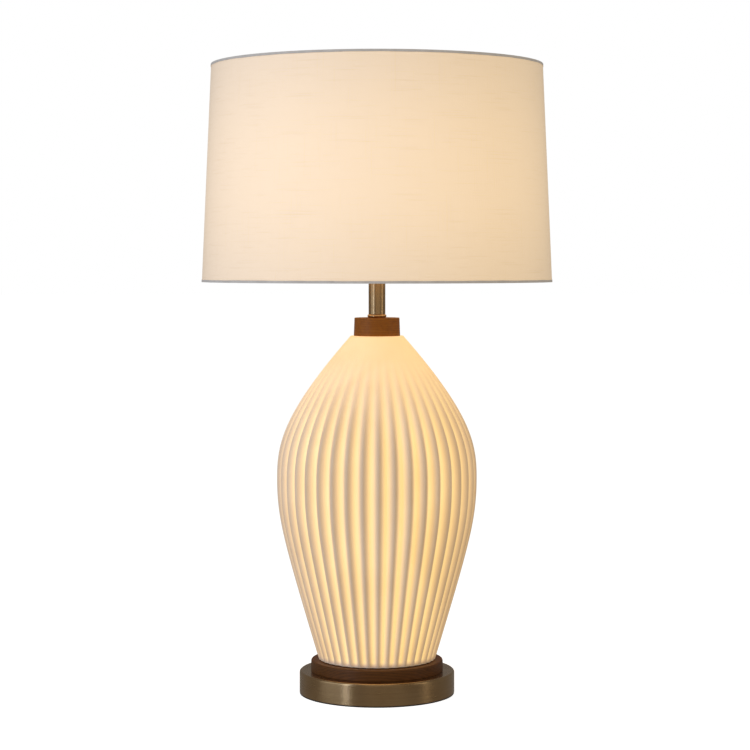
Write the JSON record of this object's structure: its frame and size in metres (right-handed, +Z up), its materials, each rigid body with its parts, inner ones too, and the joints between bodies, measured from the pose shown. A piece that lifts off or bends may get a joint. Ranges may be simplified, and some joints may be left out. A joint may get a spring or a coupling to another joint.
{
  "type": "table lamp",
  "caption": "Table lamp with a tapered drum shade on a harp, a fluted ceramic body lit from inside, a turned wooden ring and collar, and a brushed antique brass base.",
  "frame": {"origin": "centre of the underside, on the lamp's axis", "axes": "+Z up along the lamp's axis, -Y the front, +Y the back where the supply cord enters, +X to the right"},
  "size_m": [0.4079, 0.408, 0.744],
  "materials": {
    "felt": "matte felt",
    "antique_brass": "antique brushed",
    "polished_brass": "polished",
    "black_plastic": "moulded",
    "white_plastic": "moulded",
    "iron": "as cast",
    "zinc": "zinc plated",
    "nickel": "plain",
    "stained_wood": "stained, satin",
    "black_rubber": "matte",
    "bisque": "unglazed",
    "insulating_card": "plain",
    "frosted_glass": "frosted, lit",
    "lead_jacket": "soft plastic jacket",
    "linen": "slubbed linen, lit",
    "hem_tape": "folded linen",
    "frame_wire": "white painted"
  },
  "bodies": {
    "lamp_base": {"felt_pad": "felt", "base_cover": "antique_brass", "cord_inlet": "black_plastic", "base_weight": "iron", "base_washer": "zinc", "base_nut": "zinc", "threaded_pipe": "zinc", "wood_ring": "stained_wood", "bottom_gasket": "black_rubber", "ceramic_body": "bisque", "wood_collar": "stained_wood", "neck_bead": "antique_brass", "neck_tube": "antique_brass", "harp_saddle": "antique_brass", "socket_cap": "polished_brass", "socket_shell": "polished_brass", "socket_liner": "insulating_card", "socket_interior": "black_plastic", "screw_shell": "nickel", "centre_contact": "polished_brass", "night_bracket": "zinc", "night_clamp_screw": "zinc", "night_socket": "white_plastic", "night_socket_nut": "zinc", "supply_lead": "lead_jacket", "branch_lead": "lead_jacket"},
    "harp_frame": {"harp": "antique_brass"},
    "left_ferrule": {"ferrule_left": "antique_brass"},
    "right_ferrule": {"ferrule_right": "antique_brass"},
    "shade": {"shade_skin": "linen", "shade_top_hem": "hem_tape", "shade_bottom_hem": "hem_tape", "shade_bottom_ring": "frame_wire", "spider": "frame_wire"},
    "finial_foot": {"finial_insert": "antique_brass"},
    "finial_top": {"finial_knob": "antique_brass"},
    "bulb_base": {"bulb_cap": "nickel"},
    "bulb_glass": {"bulb_globe": "frosted_glass"},
    "night_bulb_base": {"night_bulb_cap": "nickel"},
    "night_bulb_glass": {"night_bulb_globe": "frosted_glass"},
    "switch": {"switch_knob": "black_plastic"}
  },
  "joints": [
    {"name": "harp_lift", "type": "slide", "parent": "lamp_base", "child": "harp_frame", "axis": [0, 0, 1], "range_m": [0, 0.2]},
    {"name": "ferrule_left_slide", "type": "slide", "parent": "harp_frame", "child": "left_ferrule", "axis": [0, 0, 1], "range_m": [0, 0.014]},
    {"name": "ferrule_right_slide", "type": "slide", "parent": "harp_frame", "child": "right_ferrule", "axis": [0, 0, 1], "range_m": [0, 0.014]},
    {"name": "shade_turn", "type": "hinge", "parent": "harp_frame", "child": "shade", "pos_m": [0, 0, 0], "axis": [0, 0, 1], "continuous": true},
    {"name": "switch_turn", "type": "hinge", "parent": "lamp_base", "child": "switch", "pos_m": [0, 0, 0.522], "axis": [0, -1, 0], "continuous": true},
    {"name": "finial_rise", "type": "slide", "parent": "harp_frame", "child": "finial_foot", "axis": [0, 0, 1], "range_m": [0, 0.0077]},
    {"name": "finial_turn", "type": "hinge", "parent": "finial_foot", "child": "finial_top", "pos_m": [0, 0, 0], "axis": [0, 0, 1], "range_deg": [0, 2880]},
    {"name": "bulb_rise", "type": "slide", "parent": "lamp_base", "child": "bulb_base", "axis": [0, 0, 1], "range_m": [0, 0.0201]},
    {"name": "bulb_turn", "type": "hinge", "parent": "bulb_base", "child": "bulb_glass", "pos_m": [0, 0, 0], "axis": [0, 0, 1], "range_deg": [0, 1980]},
    {"name": "night_bulb_rise", "type": "slide", "parent": "lamp_base", "child": "night_bulb_base", "axis": [0, 0, 1], "range_m": [0, 0.0179]},
    {"name": "night_bulb_turn", "type": "hinge", "parent": "night_bulb_base", "child": "night_bulb_glass", "pos_m": [0.03, 0, 0], "axis": [0, 0, 1], "range_deg": [0, 2520]}
  ],
  "couplings": [
    {"joint": "finial_rise", "follows": "finial_turn", "m_per_rad": 0.00014961},
    {"joint": "bulb_rise", "follows": "bulb_turn", "m_per_rad": 0.00057751},
    {"joint": "night_bulb_rise", "follows": "night_bulb_turn", "m_per_rad": 0.00040425}
  ]
}
